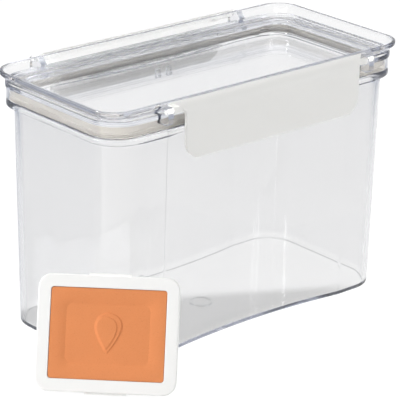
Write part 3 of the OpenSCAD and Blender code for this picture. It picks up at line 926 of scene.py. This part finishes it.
class KEEPER_OT_tile(Operator):
    """Build the clay tile: a grid over its front, lowered by the shallow dish and raised by the droplet, and
    its border carried round to the back"""

    bl_idname = "keeper.tile"
    bl_label = "Clay tile"

    def execute(self, context):
        h, t = context.scene.keeper_holder, context.scene.keeper_tub
        window = np.array([h.width - 2 * h.border, h.height - 2 * h.border])
        shell = moved(self.body(window, h), holder_place(h, t))
        clay = finish("fired_clay", unglazed_clay, h.clay)
        obj = piece("clay_tile_dished", [shell], clay, "holder", "clay_tile")
        even_normals(obj)
        return {"FINISHED"}

    def body(self, window, h):
        """A grid over the face inside the window, then its border carried down to the shoulder, out to the
        tile's own outline under the frame's lip, and down the sides to the back."""
        full = window + 2 * TILE_LAP
        face_radius, tile_radius = 1.25 * MM, 2.5 * MM
        x, y = self.plate(window - 2 * h.face_gap, face_radius)
        front = np.stack([x, y, self.relief(x, y, h, *full) - h.face_drop], 2).reshape(-1, 3)
        index = np.arange(x.size).reshape(x.shape)
        quads = np.stack([index[:-1, :-1], index[:-1, 1:], index[1:, 1:], index[1:, :-1]], -1).reshape(-1, 4)
        border = np.concatenate([index[0, :-1], index[:-1, -1], index[-1, :0:-1], index[:0:-1, 0]])
        inner = front[border, :2]
        outer = np.stack(self.plate(full, tile_radius), 2).reshape(-1, 2)[border]
        shoulder = -h.lip - TILE_PLAY
        points, high, tables = [front], border, [quads]
        for flat, z in ((inner, shoulder), (outer, shoulder), (outer, shoulder - h.tile)):
            low = sum(map(len, points)) + np.arange(len(border))
            tables += [np.stack([np.roll(high, -1), high, low, np.roll(low, -1)], -1)]
            points += [np.column_stack([flat, np.full(len(flat), z)])]
            high = low
        return outward(np.concatenate(points), tables + [high[None, ::-1]])

    def plate(self, extent, radius):
        """A grid over a rounded rectangle: a corner's cells, at a and b from 0 to 1, are drawn in to a quarter
        disc, to a * sqrt(1 - b^2 / 2) and b * sqrt(1 - a^2 / 2)."""
        half = extent / 2
        x, y = np.meshgrid(*(np.linspace(-reach, reach, steps) for reach, steps in zip(half, FACE_STEPS)))
        a = np.clip((np.abs(x) - half[0] + radius) / radius, 0, 1)
        b = np.clip((np.abs(y) - half[1] + radius) / radius, 0, 1)
        corner = (a > 0) & (b > 0)
        return (
            np.where(corner, np.sign(x) * (half[0] - radius + radius * a * np.sqrt(1 - b * b / 2)), x),
            np.where(corner, np.sign(y) * (half[1] - radius + radius * b * np.sqrt(1 - a * a / 2)), y),
        )

    def relief(self, x, y, h, width, height):
        """Dish: its depth grows with the square of the way in from a rounded rectangle's edge, to a crisp flat
        floor. Droplet: it rises in two steps, inside its outline and inside a smaller one set off to the left,
        with edges soft on the left and crisp on the right."""
        def ease(s):
            s = np.clip(s, 0, 1)
            return s * s * (3 - 2 * s)

        inset, corner, slope = 2.5 * MM, 9 * MM, 6.2 * MM
        qx = np.abs(x) - (width / 2 - inset - corner)
        qy = np.abs(y) - (height / 2 - inset - corner)
        beyond = np.hypot(np.maximum(qx, 0), np.maximum(qy, 0)) + np.minimum(np.maximum(qx, qy), 0) - corner
        dish = h.dish * np.clip(-beyond / slope, 0, 1) ** 2
        left, down, less = 1.1 * MM, 0.6 * MM, 2.2 * MM
        crisp, softer, across = 0.5 * MM, 1.4 * MM, 6 * MM
        first, second = 0.55, 0.45
        drop = self.inside_drop(x, y, h.drop_width, h.drop_length)
        inner = self.inside_drop(x + left, y + down, h.drop_width - less, h.drop_length - less)
        edge = crisp + softer * ease(0.5 - x / across)
        return h.drop_rise * (first * ease(drop / edge) + second * ease(inner / edge)) - dish

    def inside_drop(self, x, y, width, length):
        """How far a point lies inside a droplet: at a height y its half width is a circle's, pinched to a
        point at the lower end."""
        pinch = 1.4
        peak = (pinch + 1) / (pinch + 2)
        widest = 2 * peak ** ((pinch + 1) / 2) * math.sqrt(1 - peak)
        t = np.arccos(np.clip(-2 * y / length, -1, 1))
        half = width / 2 * np.sin(t) * np.sin(t / 2) ** pinch / widest
        return half - np.abs(x)


class KEEPER_OT_stage(Operator):
    """Set the camera, the pale floor, the soft studio lamps and the light from all round"""

    bl_idname = "keeper.stage"
    bl_label = "Stage"

    def execute(self, context):
        s = context.scene.keeper_stage
        scene = context.scene
        scene.view_settings.view_transform = "Standard"
        for kind in ("max", "glossy", "transmission"):
            setattr(scene.cycles, kind + "_bounces", 64)
        self.camera(scene, s)
        self.floor(scene, s)
        self.lamps(scene)
        self.sky(scene, s)
        return {"FINISHED"}

    def camera(self, scene, s):
        """Camera that looks at the keeper from the azimuth and elevation, then is moved across and above."""
        a, e = s.azimuth, s.elevation
        right = Vector((math.cos(a), math.sin(a), 0))
        back = Vector((math.sin(a) * math.cos(e), -math.cos(a) * math.cos(e), math.sin(e)))
        up = back.cross(right)
        across = math.cos(s.roll) * right + math.sin(s.roll) * up
        above = math.cos(s.roll) * up - math.sin(s.roll) * right
        place = s.across * across + s.above * above + s.distance * back
        data = bpy.data.cameras.new("camera")
        data.sensor_fit, data.sensor_width, data.lens = "HORIZONTAL", 36, s.lens
        data.clip_start, data.clip_end = 0.01, 50
        cam = bpy.data.objects.new("camera", data)
        cam.matrix_world = Matrix.Translation(place) @ Matrix((across, above, back)).transposed().to_4x4()
        scene.collection.objects.link(cam)
        scene.camera = cam

    def floor(self, scene, s):
        """Round floor: circles of growing radius about the keeper. It is pale where it catches light, and a
        studio of white and dim parts where the camera or the keeper's clear and glossy surfaces see it."""
        radii, steps, down = np.array([0.02, 0.2, 0.6, 1.5, 4.0]), 96, -0.3 * MM
        t = np.linspace(0, 2 * np.pi, steps, endpoint=False)
        r = radii[:, None]
        grid = np.stack([r * np.cos(t), r * np.sin(t), np.full((len(radii), steps), down)], 2)
        index, quads = lattice(len(radii), steps)
        mesh = bpy.data.meshes.new("floor")
        mesh.from_pydata(grid.reshape(-1, 3).tolist(), [], quads[:, ::-1].tolist() + [index[0].tolist()])
        material = bpy.data.materials.new("pale_floor")
        g = Graph(material)
        place = g.place()
        grain = g.noise(place, 6.0)
        lit = g.node("ShaderNodeBsdfPrincipled", {}, {
            "Base Color": g.blend(grain, rgba(s.floor_colour, 0.995), rgba(s.floor_colour)),
            "Roughness": 0.9,
            "Specular IOR Level": 0.1,
        })
        x, y, _ = g.axes(place)
        side, ahead = self.as_seen(x, y, s)
        camera, through = g.ray("Is Camera Ray"), g.ray("Is Transmission Ray")
        card = self.card(g, x, y, s)
        mirrored = 1 - (1 - self.mirrored(g, side)) * (1 - card)
        found = (1 - through) * mirrored + through * self.field(g, side, ahead, s)
        shown = 1 - (1 - camera) * (1 - self.behind(g)) * (1 - found)
        seen_lift, card_lift = 0.1, 0.7
        bright = camera * seen_lift + 1.0 - through * self.shade(g, x, y)
        bright = bright + (1 - camera) * (1 - through) * card * card_lift
        colour = g.scaled(g.blend(shown, rgba(s.dim), WHITE), bright)
        white = g.node("ShaderNodeEmission", {}, {"Color": colour})
        glow = self.seen(g) * (1 - camera * (1 - s.floor_glow))
        mixed = g.node("ShaderNodeMixShader", {}, {0: glow, 1: lit, 2: white})
        g.node("ShaderNodeOutputMaterial", {}, {"Surface": mixed})
        mesh.materials.append(material)
        obj = bpy.data.objects.new("floor", mesh)
        scene.collection.objects.link(obj)

    def as_seen(self, x, y, s):
        """A place as the camera looks: how far to the right, and how far beyond the keeper."""
        c, n = math.cos(s.azimuth), math.sin(s.azimuth)
        return x * c + y * n, y * c - x * n

    def field(self, g, side, ahead, s):
        """Brightness that rays through the part find: white beyond it as the camera looks, dim to the sides and
        behind."""
        fade, near_edge = 0.3, (-0.9, -0.4)
        return g.smooth(abs(side), s.field, s.field + fade, 1.0, 0.0) * g.smooth(ahead, *near_edge)

    def shade(self, g, x, y):
        """Soft shade on the ground under the front of the tub, as it shows through the clear floor."""
        amount, across, edge, soft = 0.44, (0.494, 0.869), (-4 * MM, 8 * MM), 8 * MM
        half_length, half_width = 90 * MM, 44 * MM
        front = g.smooth(x * across[0] + y * across[1], *edge, amount, 0.0)
        long = g.smooth(abs(x), half_length, half_length + soft, 1.0, 0.0)
        wide = g.smooth(abs(y), half_width, half_width + soft, 1.0, 0.0)
        return front * long * wide

    def mirrored(self, g, side):
        """Brightness that mirror reflections find: dark on the left, white in the middle, pale on the right."""
        dark, pale = 0.1, 0.75
        left, right = (-0.14, -0.05), (0.05, 0.16)
        return g.smooth(side, *left, dark, 1.0) * g.smooth(side, *right, 1.0, pale)

    def card(self, g, x, y, s):
        """A bright card that mirror reflections find to the left of the near corner, where its round wall
        shows it: an angle round the corner, with a sharp edge on the left that fades to the right."""
        corner = (-73 * MM, -25 * MM)
        start, full, stop = (math.radians(angle) for angle in (-56, -46, 25))
        side, ahead = self.as_seen(x - corner[0], y - corner[1], s)
        angle = side.math("ARCTAN2", side, 0 - ahead)
        fade = g.node("ShaderNodeMapRange", {}, {0: angle, 1: full, 2: stop, 3: 1.0, 4: 0.0})
        return g.smooth(angle, start, full) * fade

    def seen(self, g):
        """1 for rays from the camera, or on from a glossy or clear surface, and 0 for those that light it."""
        rays = [g.ray(name) for name in ("Is Camera Ray", "Is Glossy Ray", "Is Transmission Ray")]
        return 1 - (1 - rays[0]) * (1 - rays[1]) * (1 - rays[2])

    def behind(self, g):
        """1 for rays that light something behind the clear plastic, which the lamps themselves can't reach."""
        return g.ray("Diffuse Depth") > 0.5

    def lamps(self, scene):
        """Soft square lamps, each with its place, size and power, all turned to the keeper's middle."""
        aim = Vector((0, 0, 0.06))
        for name, place, wide, high, watts in (
            ("key", (-1.4, 0.5, 0.61), 0.4, 0.4, 20.0),
            ("top", (0.1, 0.1, 1.5), 1.2, 0.9, 7.0),
            ("fill", (0.5, -1.3, 0.7), 0.8, 0.8, 8.3),
        ):
            data = bpy.data.lights.new(name, "AREA")
            data.shape, data.size, data.size_y, data.energy = "RECTANGLE", wide, high, watts
            lamp = bpy.data.objects.new(name, data)
            lamp.location = place
            lamp.rotation_euler = (aim - Vector(place)).to_track_quat("-Z", "Y").to_euler()
            scene.collection.objects.link(lamp)

    def sky(self, scene, s):
        """White ahead where it is seen, dim to the sides, paler overhead, and an even light on the part."""
        world = bpy.data.worlds.new("studio")
        scene.world = world
        g = Graph(world)
        x, y, z = g.axes(g.node("ShaderNodeTexCoord", out="Generated"))
        _, ahead = self.as_seen(x, y, s)
        ahead_edge, high_edge, overhead = (0.6, 0.95), (0.35, 0.8), 0.8
        wide, high = g.smooth(ahead, *ahead_edge), g.smooth(z, *high_edge, 0.0, overhead)
        behind, behind_lift = self.behind(g), 4.6
        shown = 1 - (1 - g.ray("Is Camera Ray")) * (1 - behind) * (1 - wide) * (1 - high)
        colour = g.scaled(g.blend(shown, rgba(s.dim), WHITE), behind * behind_lift + 1.0)
        look = g.node("ShaderNodeBackground", {}, {"Color": colour})
        light = g.node("ShaderNodeBackground", {}, {"Color": WHITE, "Strength": s.sky})
        mixed = g.node("ShaderNodeMixShader", {}, {0: self.seen(g), 1: light, 2: look})
        g.node("ShaderNodeOutputWorld", {}, {"Surface": mixed})


class KEEPER_PT_builder(Panel):
    """Lists the steps and the settings in the sidebar"""

    bl_idname = "KEEPER_PT_builder"
    bl_label = "Pantry storage container"
    bl_space_type = "VIEW_3D"
    bl_region_type = "UI"
    bl_category = "Keeper"

    def draw(self, context):
        for step in STEPS:
            self.layout.operator(step.bl_idname)
        for group in SETTINGS:
            box = self.layout.box()
            box.label(text=group.replace("keeper_", "").capitalize())
            settings = getattr(context.scene, group)
            for name in settings.__annotations__:
                box.prop(settings, name)


STEPS = (
    KEEPER_OT_stage,
    KEEPER_OT_tub,
    KEEPER_OT_lid,
    KEEPER_OT_seal,
    KEEPER_OT_latches,
    KEEPER_OT_holder,
    KEEPER_OT_tile,
)
CLASSES = tuple(SETTINGS.values()) + STEPS + (KEEPER_PT_builder,)


def register():
    for made in CLASSES:
        bpy.utils.register_class(made)
    for name, group in SETTINGS.items():
        setattr(bpy.types.Scene, name, PointerProperty(type=group))


def unregister():
    for name in SETTINGS:
        delattr(bpy.types.Scene, name)
    for made in reversed(CLASSES):
        bpy.utils.unregister_class(made)


def main():
    register()
    bpy.ops.keeper.stage()
    bpy.ops.keeper.tub()
    bpy.ops.keeper.lid()
    bpy.ops.keeper.seal()
    bpy.ops.keeper.latches()
    bpy.ops.keeper.holder()
    bpy.ops.keeper.tile()


if __name__ == "__main__":
    main()
